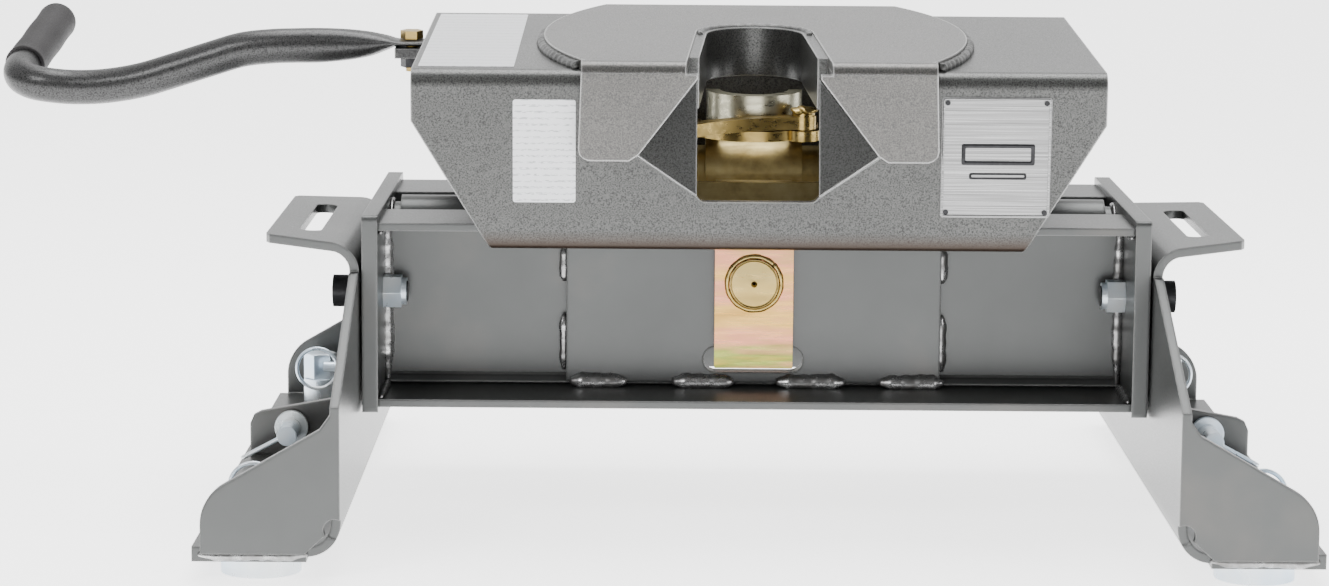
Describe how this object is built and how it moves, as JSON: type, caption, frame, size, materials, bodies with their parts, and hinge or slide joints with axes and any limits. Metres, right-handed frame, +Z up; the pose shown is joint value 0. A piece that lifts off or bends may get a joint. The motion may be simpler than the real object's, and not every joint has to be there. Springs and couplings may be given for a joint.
{
  "type": "fifth wheel hitch",
  "caption": "Fifth wheel hitch: rail base on four feet, a rolling and pitching head with kingpin throat, a swinging jaw and a pull handle.",
  "frame": {"origin": "floor level, centre of the four foot pucks", "axes": "+X to the right as seen from the throat opening, +Y away from the throat opening, +Z up"},
  "size_m": [1.0212, 0.64, 0.3831],
  "materials": {
    "frame_steel": "satin grey powder coat",
    "head_steel": "grey hammertone powder coat",
    "zinc_hardware": "clear zinc plate",
    "gold_zinc": "yellow zinc plate with rainbow tint",
    "jaw_steel": "dull olive zinc plate",
    "black_bolt": "black oxide",
    "handle_paint": "dark grey hammertone",
    "grip_rubber": "matt",
    "plate_aluminium": "brushed",
    "label_film": "printed film"
  },
  "bodies": {
    "base": {"front_rail": "frame_steel", "rear_rail": "frame_steel", "left_end_plate": "frame_steel", "right_end_plate": "frame_steel", "front_doubler_plate": "frame_steel", "rear_doubler_plate": "frame_steel", "spreader_tubes": "frame_steel", "spreader_ribs": "frame_steel", "left_upright": "frame_steel", "right_upright": "frame_steel", "left_mid_gusset": "frame_steel", "right_mid_gusset": "frame_steel", "foot_pucks": "zinc_hardware", "anchor_bolts": "zinc_hardware", "anchor_sleeves": "zinc_hardware", "upright_bolts": "black_bolt", "upright_nuts": "zinc_hardware", "upright_washers": "zinc_hardware"},
    "lock_front_left": {"wire_lock_front_left": "zinc_hardware"},
    "lock_front_right": {"wire_lock_front_right": "zinc_hardware"},
    "lock_rear_left": {"wire_lock_rear_left": "zinc_hardware"},
    "lock_rear_right": {"wire_lock_rear_right": "zinc_hardware"},
    "left_pin": {"left_pull_pin": "zinc_hardware", "left_hairpin": "zinc_hardware"},
    "right_pin": {"right_pull_pin": "zinc_hardware", "right_hairpin": "zinc_hardware"},
    "rocker": {"rocker": "gold_zinc", "roll_pin": "gold_zinc", "pin_strap": "gold_zinc", "roll_pin_nut": "gold_zinc"},
    "head": {"pitch_shaft": "zinc_hardware", "shaft_rings": "zinc_hardware", "shaft_brackets": "head_steel", "head_plate": "head_steel", "wear_plate": "head_steel", "throat_collar": "head_steel", "throat_guides": "head_steel", "jaw_carrier": "head_steel", "jaw_pivot_pin": "zinc_hardware", "bar_guide": "head_steel", "nameplate": "plate_aluminium", "nameplate_rivets": "black_bolt", "instruction_label": "label_film", "top_label": "label_film"},
    "jaw": {"jaw": "gold_zinc", "jaw_face": "jaw_steel", "jaw_lever": "gold_zinc", "lever_weld_pin": "gold_zinc"},
    "handle": {"handle_bar": "handle_paint", "drive_pin": "gold_zinc", "handle_tube": "handle_paint", "handle_grip": "grip_rubber", "handle_bolt": "gold_zinc", "handle_nut": "black_bolt"}
  },
  "joints": [
    {"name": "head_roll", "type": "hinge", "parent": "base", "child": "rocker", "pos_m": [0, 0, 0.184], "axis": [0, 1, 0], "range_deg": [-7, 7]},
    {"name": "head_pitch", "type": "hinge", "parent": "rocker", "child": "head", "pos_m": [0, 0, 0.262], "axis": [1, 0, 0], "range_deg": [-13.2, 6.8]},
    {"name": "handle_pull", "type": "slide", "parent": "head", "child": "handle", "axis": [-1, 0, 0], "range_m": [0, 0.088]},
    {"name": "jaw_swing", "type": "hinge", "parent": "head", "child": "jaw", "pos_m": [-0.057, -0.00296, 0.31492], "axis": [0, 0.0558, -0.9984], "range_deg": [0, 88]},
    {"name": "left_pin_pull", "type": "slide", "parent": "base", "child": "left_pin", "axis": [0, -1, 0], "range_m": [0, 0.05]},
    {"name": "right_pin_pull", "type": "slide", "parent": "base", "child": "right_pin", "axis": [0, -1, 0], "range_m": [0, 0.05]},
    {"name": "lock_front_left_pull", "type": "slide", "parent": "base", "child": "lock_front_left", "axis": [-1, 0, 0], "range_m": [0, 0.05]},
    {"name": "lock_front_right_pull", "type": "slide", "parent": "base", "child": "lock_front_right", "axis": [1, 0, 0], "range_m": [0, 0.05]},
    {"name": "lock_rear_left_pull", "type": "slide", "parent": "base", "child": "lock_rear_left", "axis": [-1, 0, 0], "range_m": [0, 0.05]},
    {"name": "lock_rear_right_pull", "type": "slide", "parent": "base", "child": "lock_rear_right", "axis": [1, 0, 0], "range_m": [0, 0.05]}
  ],
  "couplings": [
    {"joint": "jaw_swing", "follows": "handle_pull", "rad_per_m": 17.453}
  ]
}
